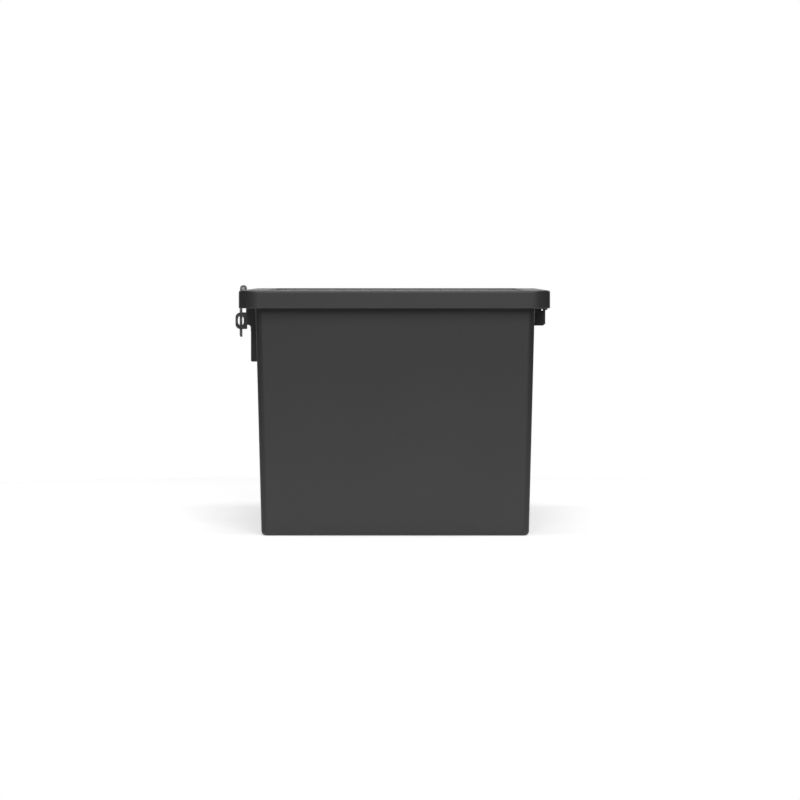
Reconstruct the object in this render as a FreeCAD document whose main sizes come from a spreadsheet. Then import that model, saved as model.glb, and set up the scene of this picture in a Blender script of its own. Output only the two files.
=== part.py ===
import FreeCAD, Part
import math
import os
import Sketcher

# Lockable lidded bin, millimetres. +Z is up, X is the long way, -Y is the front with the latch,
# +Y is the rear with the hinges. The origin is the middle of the base.

os.makedirs("parts", exist_ok=True)
doc = FreeCAD.newDocument("lidded_bin")
dims = doc.addObject("Spreadsheet::Sheet", "dims")

DIMENSIONS = {
    # bin
    "base_length": 545, "base_depth": 345, "bin_height": 304, "wall": 3.5, "floor_wall": 4,
    "draft": 1.365, "bin_corner": 8.3, "base_edge": 5.8, "cavity_edge": 3,
    "rim_reach": 10, "rim_wall": 3.5, "lip_drop": 8, "lip_wall": 2.5,
    # lid, reaching past the bin's top edge all round
    "lid_overhang": 20.256, "lid_shift": -0.95, "lid_rise": 12, "skirt_height": 22.9,
    "lid_corner": 24, "lid_wall": 3.5, "lid_edge": 2.6, "skirt_edge": 0.8,
    "recess_end": 70, "recess_side": 31, "recess_corner": 25, "recess_drop": 1.5,
    "rib_wall": 2.5, "rib_drop": 8, "plug_drop": 12, "plug_gap": 3,
    "gasket_width": 7, "gasket_gap": 0.3,
    # hinges
    "hinge_place": 150, "hinge_width": 50, "hinge_inset": 2.75, "barrel_radius": 3.68,
    "barrel_room": 0.6, "hinge_pin_radius": 1.8, "pin_gap": 0.05, "leaf_wall": 1.5,
    "leaf_offset": 0.15, "knuckle_gap": 0.35, "boss_length": 54, "boss_gap": 0.92,
    "boss_height": 19.1, "boss_edge": 2, "base_leaf_drop": 22, "lid_leaf_margin": 3.9,
    "hinge_screw_spread": 32, "screw_radius": 2, "screw_head_radius": 3.5,
    "screw_head_rise": 1.5, "insert_radius": 3.2, "insert_length": 9, "backing_wall": 2,
    "backing_margin": 1,
    # latch bracket on the front wall
    "bracket_length": 90, "bracket_height": 72.1, "bracket_gap": 2.1, "bracket_proud": 0.35,
    "bracket_joggle": 6.35, "step_drop": 21.7, "bracket_edge": 2, "core_width": 18,
    "core_margin": 6, "core_depth": 16, "bolt_radius": 2.5, "bolt_spread": 72,
    "bolt_rise": 11.1, "bolt_drop": 10, "bolt_seat": 13, "bolt_head": 3,
    "bolt_head_radius": 4.75, "hole_gap": 0.25, "nut_radius": 4.62, "nut_height": 4,
    "nut_plate_margin": 8,
    # eye plate with its two ears
    "eye_plate_length": 44, "eye_plate_wall": 1.2, "eye_plate_drop": 10, "joggle_radius": 4,
    "lug_wall": 4, "lug_reach": 15.9, "lug_drop": 7.05, "lug_rise": 15.35, "lug_corner": 6.6,
    "eye_width": 8.7, "eye_corner": 4.2, "eye_rim": 2.4, "eye_low_rim": 5, "eye_high_rim": 4.9,
    "eye_screw_spread": 32, "eye_screw_rise": 5.2, "eye_screw_drop": 5.7, "eye_screw_length": 10,
    # latch strap and its mount on the lid
    "latch_axis_out": 5.65, "latch_axis_rise": 1.3, "latch_knuckle_radius": 4.3,
    "latch_pin_radius": 2, "bush_wall": 1, "strap_width": 14, "strap_wall": 3.2,
    "strap_out": 5.15, "strap_drop": 65.7, "strap_taper": 2.6, "strap_tip": 0.7,
    "strap_neck": 8,
    "ear_wall": 4.6, "ear_gap": 0.4, "web_back": 3, "web_drop": 6,
    "mount_wall": 2, "mount_length": 56, "mount_rise": 4.4, "mount_drop": 3.5, "mount_foot": 3,
    "mount_screw_spread": 45, "pin_head_radius": 2.5, "pin_head": 0.8,
    # how far a cutting shape runs past the face it opens
    "overcut": 1,
}
for row, (alias, number) in enumerate(DIMENSIONS.items(), start=1):
    dims.set(f"A{row}", alias)
    dims.set(f"B{row}", str(number))
    dims.setAlias(f"B{row}", alias)
doc.recompute()


def settle():
    """Recompute, and stop at the first object that failed."""
    doc.recompute()
    failed = [item.Name for item in doc.Objects if {"Invalid", "Error"} & set(item.State)]
    if failed:
        raise RuntimeError(f"failed: {failed}")


def value(expression):
    """The number that an expression on the sheet comes to."""
    found = dims.evalExpression(expression)
    return float(getattr(found, "Value", found))


SLOPE = "tan(dims.draft * 1deg)"
LEAN = "cos(dims.draft * 1deg)"
BIN_TOP_LENGTH = f"dims.base_length + 2 * dims.bin_height * {SLOPE}"
BIN_TOP_DEPTH = f"dims.base_depth + 2 * dims.bin_height * {SLOPE}"
LID_LENGTH = f"({BIN_TOP_LENGTH} + 2 * dims.lid_overhang)"
LID_DEPTH = f"({BIN_TOP_DEPTH} + 2 * dims.lid_overhang)"
LID_BACK = f"({LID_DEPTH} / 2 + dims.lid_shift)"
LID_FRONT = f"({LID_DEPTH} / 2 - dims.lid_shift)"
LID_TOP = "(dims.bin_height + dims.lid_rise)"
LID_UNDER = f"({LID_TOP} - dims.recess_drop - dims.lid_wall)"
SKIRT_BOTTOM = f"({LID_TOP} - dims.skirt_height)"
OVERCUT = "dims.overcut"

# the rear hinges' axis lies level with the skirt's bottom edge, a little inside its outer face
HINGE_BACK = f"({LID_BACK} - dims.hinge_inset)"
HINGE_UP = SKIRT_BOTTOM
BARREL_TOP = f"({HINGE_UP} + dims.barrel_radius + dims.barrel_room)"
LEAF_ROOM = "(dims.barrel_radius + 2 * dims.barrel_room)"
BOSS_FACE = f"({HINGE_BACK} + dims.leaf_offset - dims.leaf_wall)"
BOSS_TOP = f"({HINGE_UP} - dims.barrel_radius - dims.boss_gap)"
BOSS_BOTTOM = f"({BOSS_TOP} - dims.boss_height)"

# the bracket's top stays just under the skirt; its face steps out towards the top
BRACKET_TOP = f"({SKIRT_BOTTOM} - dims.bracket_gap)"
BRACKET_BOTTOM = f"({BRACKET_TOP} - dims.bracket_height)"
BRACKET_STEP = f"({BRACKET_TOP} - dims.step_drop)"
HIGH_FACE = f"({LID_FRONT} + dims.bracket_proud)"
LOW_FACE = f"({HIGH_FACE} - dims.bracket_joggle)"
BOLT_LOW = f"({BRACKET_BOTTOM} + dims.bolt_rise)"
BOLT_HIGH = f"({BRACKET_TOP} - dims.bolt_drop)"

# the strap hangs from an axis in front of the lid's face, between the two ears of the eye plate
LATCH_FRONT = f"({LID_FRONT} + dims.latch_axis_out)"
LATCH_UP = f"({LID_TOP} + dims.latch_axis_rise)"
EAR_START = "(dims.strap_width / 2 + dims.ear_gap)"
NODES = []


def new_body(label):
    body = doc.addObject("PartDesign::Body", label)
    body.Label = label
    NODES.append(body)
    return body


def new_sketch(body, role, offset="0"):
    """A sketch on one of the body's own origin planes, moved along that plane's normal."""
    sketch = body.newObject("Sketcher::SketchObject", body.Name + "_sketch")
    plane = [item for item in body.Origin.OriginFeatures if item.Role == role][0]
    sketch.AttachmentSupport = [(plane, "")]
    sketch.MapMode = "FlatFace"
    sketch.setExpression("AttachmentOffset.Base.z", offset)
    return sketch


def bind(sketch, kind, *args):
    """Add a constraint whose last argument is an expression, and tie it to the sheet."""
    index = sketch.addConstraint(Sketcher.Constraint(kind, *args[:-1], value(args[-1])))
    sketch.renameConstraint(index, f"size_{index}")
    sketch.setExpression(f"Constraints.size_{index}", args[-1])


def place(sketch, edge, point, across, up):
    """Tie a sketch point to the origin by two expressions."""
    for kind, expression in (("DistanceX", across), ("DistanceY", up)):
        if expression == "0":
            axis = -2 if kind == "DistanceX" else -1
            sketch.addConstraint(Sketcher.Constraint("PointOnObject", edge, point, axis))
        else:
            bind(sketch, kind, -1, 1, edge, point, expression)


def outline(sketch, corners):
    """A closed outline of straight lines through corners given as expressions."""
    points = [FreeCAD.Vector(value(across), value(up), 0) for across, up in corners]
    first = sketch.GeometryCount
    count = len(points)
    for n in range(count):
        sketch.addGeometry(Part.LineSegment(points[n], points[(n + 1) % count]), False)
    for n in range(count):
        after = first + (n + 1) % count
        sketch.addConstraint(Sketcher.Constraint("Coincident", first + n, 2, after, 1))
    for n, (across, up) in enumerate(corners):
        place(sketch, first + n, 1, across, up)


def box_outline(sketch, low_x, high_x, low_y, high_y):
    outline(sketch, [(low_x, low_y), (high_x, low_y), (high_x, high_y), (low_x, high_y)])


def circle(sketch, across, up, radius):
    spot = FreeCAD.Vector(value(across), value(up), 0)
    edge = sketch.addGeometry(Part.Circle(spot, FreeCAD.Vector(0, 0, 1), value(radius)), False)
    place(sketch, edge, 3, across, up)
    bind(sketch, "Radius", edge, radius)


def rounded_box(sketch, length, depth, radius, shift="0"):
    """A rectangle with round corners, its middle at (0, shift)."""
    half, deep, r = value(length) / 2, value(depth) / 2, value(radius)
    middle = value(shift)
    first = sketch.GeometryCount
    turns = [(1, -1), (1, 1), (-1, 1), (-1, -1)]
    for n, (sx, sy) in enumerate(turns):
        spot = FreeCAD.Vector(sx * (half - r), middle + sy * (deep - r), 0)
        ring = Part.Circle(spot, FreeCAD.Vector(0, 0, 1), r)
        start = math.radians(-90 + 90 * n)
        sketch.addGeometry(Part.ArcOfCircle(ring, start, start + math.pi / 2), False)
    arcs = [sketch.Geometry[first + n] for n in range(4)]
    for n in range(4):
        sketch.addGeometry(Part.LineSegment(arcs[n].EndPoint, arcs[(n + 1) % 4].StartPoint), False)
    for n in range(4):
        line = first + 4 + n
        sketch.addConstraint(Sketcher.Constraint("Tangent", first + n, 2, line, 1))
        sketch.addConstraint(Sketcher.Constraint("Tangent", line, 2, first + (n + 1) % 4, 1))
        sketch.addConstraint(Sketcher.Constraint("Horizontal" if n % 2 else "Vertical", line))
    bind(sketch, "Radius", first, radius)
    for n in (1, 2):
        sketch.addConstraint(Sketcher.Constraint("Equal", first, first + n))
    place(sketch, first, 3, f"({length}) / 2 - {radius}", f"{shift} - ({depth}) / 2 + {radius}")
    place(sketch, first + 2, 3, f"{radius} - ({length}) / 2", f"{shift} + ({depth}) / 2 - {radius}")


def grow(body, sketch, length, both=False):
    pad = body.newObject("PartDesign::Pad", body.Name + "_pad")
    pad.Profile = sketch
    pad.setExpression("Length", length)
    pad.Midplane = both
    settle()
    return pad


def cut(body, sketch, depth, both=False, back=False):
    """Pocket along the sketch's normal, and stop if it takes nothing away."""
    before = body.Shape.Volume
    pocket = body.newObject("PartDesign::Pocket", body.Name + "_pocket")
    pocket.Profile = sketch
    pocket.setExpression("Length", depth)
    pocket.Midplane = both
    pocket.Reversed = back
    settle()
    if not body.Shape.Volume < before:
        raise RuntimeError(f"{pocket.Name} takes nothing away")
    return pocket


def round_edges(body, radius, chosen):
    """Fillet the edges of the body for which chosen(edge) is true."""
    names = [f"Edge{n}" for n, edge in enumerate(body.Shape.Edges, start=1) if chosen(edge)]
    if not names:
        raise RuntimeError(f"{body.Name} has no edge to round")
    last = body.Tip
    fillet = body.newObject("PartDesign::Fillet", body.Name + "_fillet")
    fillet.Base = (last, names)
    fillet.setExpression("Radius", radius)
    settle()
    return fillet


def all_at(edge, axis, place_on_axis):
    """True when every end of the edge lies at one place along an axis (0, 1, 2 for X, Y, Z)."""
    return all(abs(v.Point[axis] - place_on_axis) < 0.01 for v in edge.Vertexes)


def wall_y(up):
    """Half the bin's outside depth at a height, as an expression."""
    return f"(dims.base_depth / 2 + ({up}) * {SLOPE})"


# ---- bin body: moulded shell, rim with a down-turned lip, two hinge bosses on the rear wall ----
def drafted_block(name, bottom, top, lengths, depths, radius, edge_radius):
    """A block with round corners whose sides lean out, with its bottom edges rounded."""
    sections = []
    for n, up in enumerate((bottom, top)):
        section = doc.addObject("Sketcher::SketchObject", f"{name}_section")
        section.setExpression("Placement.Base.z", up)
        rounded_box(section, lengths[n], depths[n], radius)
        sections.append(section)
    block = doc.addObject("Part::Loft", f"{name}_block")
    block.Sections = sections
    block.Solid = True
    block.Ruled = True
    settle()
    rounded = doc.addObject("Part::Fillet", name)
    rounded.Base = block
    size = value(edge_radius)
    rounded.Edges = [(n, size, size) for n, edge in enumerate(block.Shape.Edges, start=1)
                     if all_at(edge, 2, value(bottom))]
    settle()
    return rounded


outside_block = drafted_block("bin_outside", "0", "dims.bin_height",
                              ("dims.base_length", BIN_TOP_LENGTH),
                              ("dims.base_depth", BIN_TOP_DEPTH),
                              "dims.bin_corner", "dims.base_edge")
moulding = doc.addObject("PartDesign::Body", "bin_moulding")
moulding.BaseFeature = outside_block
settle()
for across in ("dims.hinge_place", "-dims.hinge_place"):
    boss = new_sketch(moulding, "XY_Plane", BOSS_BOTTOM)
    box_outline(boss, f"{across} - dims.boss_length / 2", f"{across} + dims.boss_length / 2",
                f"{wall_y(BOSS_BOTTOM)} - dims.wall / 2", BOSS_FACE)
    grow(moulding, boss, "dims.boss_height")
    shelf = new_sketch(moulding, "XY_Plane", BOSS_BOTTOM)
    box_outline(shelf, f"{across} - dims.boss_length / 2", f"{across} + dims.boss_length / 2",
                f"{wall_y(BOSS_BOTTOM)} - dims.wall / 2", f"{HINGE_BACK} - {LEAF_ROOM}")
    grow(moulding, shelf, f"{SKIRT_BOTTOM} - dims.barrel_room - {BOSS_BOTTOM}")
round_edges(moulding, "dims.boss_edge",
            lambda edge: all_at(edge, 2, value(BOSS_BOTTOM))
            and all_at(edge, 1, value(BOSS_FACE)))

rim = new_sketch(moulding, "XY_Plane", "dims.bin_height - dims.rim_wall")
rounded_box(rim, f"{BIN_TOP_LENGTH} + 2 * dims.rim_reach", f"{BIN_TOP_DEPTH} + 2 * dims.rim_reach",
            "(dims.bin_corner + dims.rim_reach)")
grow(moulding, rim, "dims.rim_wall")
lip = new_sketch(moulding, "XY_Plane", "dims.bin_height - dims.lip_drop")
rounded_box(lip, f"{BIN_TOP_LENGTH} + 2 * dims.rim_reach", f"{BIN_TOP_DEPTH} + 2 * dims.rim_reach",
            "(dims.bin_corner + dims.rim_reach)")
rounded_box(lip, f"{BIN_TOP_LENGTH} + 2 * (dims.rim_reach - dims.lip_wall)",
            f"{BIN_TOP_DEPTH} + 2 * (dims.rim_reach - dims.lip_wall)",
            "(dims.bin_corner + dims.rim_reach - dims.lip_wall)")
grow(moulding, lip, "dims.lip_drop - dims.rim_wall / 2")

# the cavity, and holes for the four bracket bolts in the front wall
CAVITY_LOW = f"2 * dims.floor_wall * {SLOPE} - 2 * dims.wall"
cavity = drafted_block("bin_inside", "dims.floor_wall", "dims.bin_height",
                       (f"dims.base_length + {CAVITY_LOW}", f"{BIN_TOP_LENGTH} - 2 * dims.wall"),
                       (f"dims.base_depth + {CAVITY_LOW}", f"{BIN_TOP_DEPTH} - 2 * dims.wall"),
                       "(dims.bin_corner - dims.wall)", "dims.cavity_edge")

TOWARDS_FRONT = (1, 0, 0, 90)
TOWARDS_BACK = (1, 0, 0, -90)
ALONG_X = (0, 1, 0, 90)


def set_spot(item, x, y, z, turn=None):
    """Put an object at expressions x, y, z, with its own +Z turned about an axis."""
    if turn:
        item.Placement.Rotation = FreeCAD.Rotation(FreeCAD.Vector(*turn[:3]), turn[3])
    item.setExpression("Placement.Base.x", x)
    item.setExpression("Placement.Base.y", y)
    item.setExpression("Placement.Base.z", z)


def countersink(body, x, y, z, turn, radius="dims.screw_radius + dims.hole_gap / 4",
                depth="dims.bracket_length"):
    """A hole with a cone for a flat head, its mouth at x, y, z."""
    before = body.Shape.Volume
    hole = body.newObject("PartDesign::SubtractiveCylinder", body.Name + "_hole")
    hole.setExpression("Radius", radius)
    hole.setExpression("Height", depth)
    set_spot(hole, x, y, z, turn)
    cone = body.newObject("PartDesign::SubtractiveCone", body.Name + "_cone")
    cone.setExpression("Radius1", "dims.screw_head_radius")
    cone.setExpression("Radius2", "dims.screw_radius")
    cone.setExpression("Height", "dims.screw_head_rise")
    set_spot(cone, x, y, z, turn)
    settle()
    if not body.Shape.Volume < before:
        raise RuntimeError(f"{hole.Name} takes nothing away")


def primitive(kind, name, x="0", y="0", z="0", turn=None, **sizes):
    """A Part primitive whose sizes and place are expressions on the sheet."""
    item = doc.addObject(kind, name)
    for key, expression in sizes.items():
        item.setExpression(key, expression)
    set_spot(item, x, y, z, turn)
    return item


# ---- pieces of the two rear hinges ----
def hinge_leaf(label, middle, plate_low, plate_high, plate_front, knuckles, others, screw_up):
    """A flat leaf with its knuckles, bored for the pin and drilled for two screws."""
    body = new_body(label)
    plate = new_sketch(body, "YZ_Plane", middle)
    box_outline(plate, plate_front, f"{plate_front} + dims.leaf_wall", plate_low, plate_high)
    grow(body, plate, "dims.hinge_width", both=True)
    for n in others:
        notch = new_sketch(body, "YZ_Plane", f"{middle} + ({n} - 1) * dims.hinge_width / 3")
        box_outline(notch, f"{plate_front} - {OVERCUT}",
                    f"{plate_front} + dims.leaf_wall + {OVERCUT}",
                    f"{HINGE_UP} - {LEAF_ROOM}", f"{HINGE_UP} + {LEAF_ROOM}")
        cut(body, notch, "dims.hinge_width / 3 + 2 * dims.knuckle_gap", both=True)
    for n in knuckles:
        barrel = new_sketch(body, "YZ_Plane", f"{middle} + ({n} - 1) * dims.hinge_width / 3")
        circle(barrel, HINGE_BACK, HINGE_UP, "dims.barrel_radius")
        grow(body, barrel, "dims.hinge_width / 3 - dims.knuckle_gap", both=True)
    bore = new_sketch(body, "YZ_Plane", middle)
    circle(bore, HINGE_BACK, HINGE_UP, "(dims.hinge_pin_radius + dims.pin_gap)")
    cut(body, bore, f"dims.hinge_width + 2 * {OVERCUT}", both=True)
    face = f"({plate_front} + dims.leaf_wall)"
    for side in ("-", "+"):
        countersink(body, f"{middle} {side} dims.hinge_screw_spread / 2", face, screw_up, TOWARDS_FRONT)
    return body


def node(item):
    """Hand in an object as a sub-part under its own name."""
    item.Label = item.Name
    NODES.append(item)
    return item


def join(label, items):
    """One node made of several separate or touching solids."""
    return node(fuse(label, items))


def flat_screw(name, x, y, z, length, turn):
    """A countersunk screw with its flat face at x, y, z."""
    head = primitive("Part::Cone", name + "_head", x, y, z, turn, Radius1="dims.screw_head_radius",
                     Radius2="dims.screw_radius", Height="dims.screw_head_rise")
    shank = primitive("Part::Cylinder", name + "_shank", x, y, z, turn,
                      Radius="dims.screw_radius", Height=length)
    return fuse(name, [head, shank])


def fuse(name, items):
    joined = doc.addObject("Part::MultiFuse", name)
    joined.Shapes = items
    return joined


def subtract(name, base, tool):
    left = doc.addObject("Part::Cut", name)
    left.Base = base
    left.Tool = tool
    return left


BOLTS = [(f"({sign} dims.bolt_spread / 2)".replace("+ ", ""), up)
         for up in (BOLT_LOW, BOLT_HIGH) for sign in ("-", "+")]
HINGES = {"left": "-dims.hinge_place", "right": "dims.hinge_place"}
INSERTS = [(f"({middle} {sign} dims.hinge_screw_spread / 2)")
           for middle in HINGES.values() for sign in "-+"]
INSERT_UP = f"(({BOSS_BOTTOM} + {BOSS_TOP}) / 2)"


def wall_spot(up):
    """Where a line that leaves the front wall squarely starts, at a height up the wall."""
    return f"-{wall_y(up)}"


def wall_turn(item, inwards):
    """Turn an object's own +Z square to the leaning front wall, into the bin or out of it."""
    angle = -90 if inwards else 90
    item.Placement.Rotation = FreeCAD.Rotation(FreeCAD.Vector(1, 0, 0), angle + value("dims.draft"))


def square_to_wall(name, x, up, radius, out, into):
    """A cylinder square to the front wall, from out in front of its face to into behind it."""
    item = doc.addObject("Part::Cylinder", name)
    item.setExpression("Radius", radius)
    item.setExpression("Height", f"{out} + {into}")
    item.setExpression("Placement.Base.x", x)
    item.setExpression("Placement.Base.y", f"{wall_spot(up)} - ({out}) * {LEAN}")
    item.setExpression("Placement.Base.z", f"{up} - ({out}) * sin(dims.draft * 1deg)")
    wall_turn(item, True)
    return item


CLEAR_BOLT = "dims.bolt_radius + dims.hole_gap"
bin_holes = [square_to_wall(f"wall_hole_{n}", x, up, CLEAR_BOLT, "2 * dims.wall",
                            "3 * dims.wall")
             for n, (x, up) in enumerate(BOLTS)]
for n, x in enumerate(INSERTS):
    bin_holes.append(primitive("Part::Cylinder", f"insert_hole_{n}", x,
                               f"{BOSS_FACE} + {OVERCUT}", INSERT_UP, TOWARDS_FRONT,
                               Radius="dims.insert_radius",
                               Height=f"dims.insert_length + {OVERCUT}"))
hollow = subtract("bin_hollow", moulding, cavity)
for n, hole in enumerate(bin_holes[:-1]):
    hollow = subtract(f"bin_holed_{n}", hollow, hole)
node(subtract("bin_body", hollow, bin_holes[-1]))

# The lid leaf is screwed to the skirt's outer face, the base leaf to the boss's face. The middle
# knuckle belongs to the lid leaf, the two outer ones to the base leaf.
BASE_SCREW_UP = INSERT_UP
LID_SCREW_UP = f"(({BARREL_TOP} + {LID_UNDER}) / 2)"
BASE_LEAF_FACE = f"({BOSS_FACE} + dims.leaf_wall)"
LID_LEAF_FACE = f"({LID_BACK} + dims.leaf_wall)"

for side, middle in HINGES.items():
    hinge_leaf(f"hinge_base_leaf_{side}", middle, f"{HINGE_UP} - dims.base_leaf_drop", HINGE_UP,
               BOSS_FACE, (0, 2), (1,), BASE_SCREW_UP)
    hinge_leaf(f"hinge_lid_leaf_{side}", middle, HINGE_UP, f"{LID_TOP} - dims.lid_leaf_margin",
               LID_BACK, (1,), (0, 2), LID_SCREW_UP)
    spots = [(n, f"({middle} {sign} dims.hinge_screw_spread / 2)") for n, sign in enumerate("-+")]

    node(primitive("Part::Cylinder", f"hinge_pin_{side}", f"{middle} - dims.hinge_width / 2",
                   HINGE_BACK, HINGE_UP, ALONG_X,
                   Radius="dims.hinge_pin_radius", Height="dims.hinge_width"))
    join(f"hinge_base_screws_{side}", [
        flat_screw(f"base_screw_{side}_{n}", x, BASE_LEAF_FACE, BASE_SCREW_UP,
                   f"dims.leaf_wall + dims.insert_length - {OVERCUT}", TOWARDS_FRONT) for n, x in spots])
    join(f"hinge_lid_screws_{side}", [
        flat_screw(f"lid_screw_{side}_{n}", x, LID_LEAF_FACE, LID_SCREW_UP,
                   "dims.leaf_wall + dims.lid_wall + dims.backing_wall", TOWARDS_FRONT)
        for n, x in spots])
    join(f"hinge_inserts_{side}", [
        subtract(f"insert_{side}_{n}",
                 primitive("Part::Cylinder", f"insert_out_{side}_{n}", x, BOSS_FACE, BASE_SCREW_UP,
                           TOWARDS_FRONT, Radius="dims.insert_radius", Height="dims.insert_length"),
                 primitive("Part::Cylinder", f"insert_in_{side}_{n}", x, BOSS_FACE, BASE_SCREW_UP,
                           TOWARDS_FRONT, Radius="dims.screw_radius", Height="dims.insert_length"))
        for n, x in spots])

    backing = new_body(f"hinge_backing_plate_{side}")
    face = new_sketch(backing, "XZ_Plane", f"dims.lid_wall - {LID_BACK}")
    box_outline(face, f"{middle} - dims.hinge_width / 2", f"{middle} + dims.hinge_width / 2",
                f"{BARREL_TOP} + dims.backing_margin", f"{LID_UNDER} - dims.backing_margin")
    for n, x in spots:
        circle(face, x, LID_SCREW_UP, "dims.screw_radius")
    grow(backing, face, "dims.backing_wall")

# ---- lid: moulded shell with a skirt, a shallow recess on top and ribs underneath ----
lid = new_body("lid_shell")
outside = new_sketch(lid, "XY_Plane", SKIRT_BOTTOM)
rounded_box(outside, LID_LENGTH, LID_DEPTH, "dims.lid_corner", "dims.lid_shift")
grow(lid, outside, "dims.skirt_height")
round_edges(lid, "dims.lid_edge", lambda edge: all_at(edge, 2, value(LID_TOP)))
round_edges(lid, "dims.skirt_edge", lambda edge: all_at(edge, 2, value(SKIRT_BOTTOM)))
inside = new_sketch(lid, "XY_Plane", SKIRT_BOTTOM)
rounded_box(inside, f"({LID_LENGTH} - 2 * dims.lid_wall)", f"({LID_DEPTH} - 2 * dims.lid_wall)",
            "(dims.lid_corner - dims.lid_wall)", "dims.lid_shift")
cut(lid, inside, f"{LID_UNDER} - {SKIRT_BOTTOM}", back=True)
recess = new_sketch(lid, "XY_Plane", f"{LID_TOP} - dims.recess_drop")
rounded_box(recess, f"({LID_LENGTH} - 2 * dims.recess_end)",
            f"({LID_DEPTH} - 2 * dims.recess_side)", "dims.recess_corner", "dims.lid_shift")
cut(lid, recess, f"dims.recess_drop + {OVERCUT}", back=True)

# a plug wall that drops just inside the bin's mouth, and crossing ribs within it
MOUTH_LENGTH = f"({BIN_TOP_LENGTH} - 2 * dims.wall - 2 * dims.plug_gap)"
MOUTH_DEPTH = f"({BIN_TOP_DEPTH} - 2 * dims.wall - 2 * dims.plug_gap)"
plug = new_sketch(lid, "XY_Plane", f"{LID_UNDER} - dims.plug_drop")
rounded_box(plug, MOUTH_LENGTH, MOUTH_DEPTH, "dims.bin_corner")
rounded_box(plug, f"({MOUTH_LENGTH} - 2 * dims.rib_wall)", f"({MOUTH_DEPTH} - 2 * dims.rib_wall)",
            "(dims.bin_corner - dims.rib_wall)")
grow(lid, plug, "dims.plug_drop + dims.lid_wall / 2")
for n in range(-2, 3):
    rib = new_sketch(lid, "YZ_Plane", f"{n} * {MOUTH_LENGTH} / 6")
    box_outline(rib, f"dims.rib_wall / 2 - {MOUTH_DEPTH} / 2", f"{MOUTH_DEPTH} / 2 - dims.rib_wall / 2",
                f"{LID_UNDER} - dims.rib_drop", f"{LID_UNDER} + dims.lid_wall / 2")
    grow(lid, rib, "dims.rib_wall", both=True)
for n in (-1, 0, 1):
    rib = new_sketch(lid, "XZ_Plane", f"{n} * {MOUTH_DEPTH} / 4")
    box_outline(rib, f"dims.rib_wall / 2 - {MOUTH_LENGTH} / 2",
                f"{MOUTH_LENGTH} / 2 - dims.rib_wall / 2",
                f"{LID_UNDER} - dims.rib_drop", f"{LID_UNDER} + dims.lid_wall / 2")
    grow(lid, rib, "dims.rib_wall", both=True)

# notches for the barrels, and screw holes through the skirt
for middle in HINGES.values():
    notch = new_sketch(lid, "YZ_Plane", middle)
    box_outline(notch, f"{LID_BACK} - dims.lid_wall - {OVERCUT}", f"{LID_BACK} + {OVERCUT}",
                f"{SKIRT_BOTTOM} - {OVERCUT}", BARREL_TOP)
    cut(lid, notch, f"dims.hinge_width + 2 * {OVERCUT}", both=True)
    for sign in "-+":
        hole = new_sketch(lid, "XZ_Plane", f"-{LID_BACK} - {OVERCUT}")
        circle(hole, f"{middle} {sign} dims.hinge_screw_spread / 2", LID_SCREW_UP,
               "(dims.screw_radius + dims.hole_gap)")
        cut(lid, hole, f"dims.lid_wall + 2 * {OVERCUT}", back=True)

gasket = new_body("lid_gasket")
ring = new_sketch(gasket, "XY_Plane", "dims.bin_height + dims.gasket_gap")
for grown in ("dims.gasket_width", "0"):
    rounded_box(ring, f"{BIN_TOP_LENGTH} + 2 * {grown}", f"{BIN_TOP_DEPTH} + 2 * {grown}",
                f"(dims.bin_corner + {grown})")
grow(gasket, ring, f"{LID_UNDER} - dims.bin_height - dims.gasket_gap")

# ---- latch bracket: a moulded block bolted through the front wall onto a backing plate ----
bracket = new_body("latch_bracket")
profile = new_sketch(bracket, "YZ_Plane")
outline(profile, [
    (f"-{wall_y(BRACKET_BOTTOM)}", BRACKET_BOTTOM),
    (f"-{wall_y(BRACKET_TOP)}", BRACKET_TOP),
    (f"-{HIGH_FACE}", BRACKET_TOP),
    (f"-{HIGH_FACE}", BRACKET_STEP),
    (f"-{LOW_FACE}", BRACKET_STEP),
    (f"-{LOW_FACE}", BRACKET_BOTTOM),
])
grow(bracket, profile, "dims.bracket_length", both=True)
round_edges(bracket, "dims.bracket_edge",
            lambda edge: all_at(edge, 2, value(BRACKET_BOTTOM))
            and all_at(edge, 1, -value(LOW_FACE)))
for sign in "-+":
    core = new_sketch(bracket, "XZ_Plane", f"{wall_y(BRACKET_TOP)} - dims.core_margin")
    middle = f"(0 {sign} dims.bracket_length / 6)"
    box_outline(core, f"{middle} - dims.core_width / 2", f"{middle} + dims.core_width / 2",
                f"{BRACKET_BOTTOM} + dims.core_margin", f"{BRACKET_STEP} - dims.core_margin")
    cut(bracket, core, "dims.core_depth", back=True)
for x, up in BOLTS:
    for start, radius in ((f"(-{OVERCUT})", CLEAR_BOLT),
                          ("dims.bolt_seat", "dims.bolt_head_radius + dims.hole_gap")):
        tool = bracket.newObject("PartDesign::SubtractiveCylinder", "bracket_hole")
        tool.setExpression("Radius", radius)
        tool.setExpression("Height", "dims.bracket_length / 2")
        tool.setExpression("Placement.Base.x", x)
        tool.setExpression("Placement.Base.y", f"{wall_spot(up)} - {start} * {LEAN}")
        tool.setExpression("Placement.Base.z", f"{up} - {start} * sin(dims.draft * 1deg)")
        wall_turn(tool, False)
settle()

join("latch_bracket_bolts", [
    part for n, (x, up) in enumerate(BOLTS) for part in (
        square_to_wall(f"bolt_head_{n}", x, up, "dims.bolt_head_radius",
                       "dims.bolt_seat + dims.bolt_head", "-dims.bolt_seat"),
        square_to_wall(f"bolt_shank_{n}", x, up, "dims.bolt_radius",
                       f"dims.bolt_seat + {OVERCUT}",
                       f"dims.wall + dims.backing_wall + dims.nut_height + {OVERCUT}"))])

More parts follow.
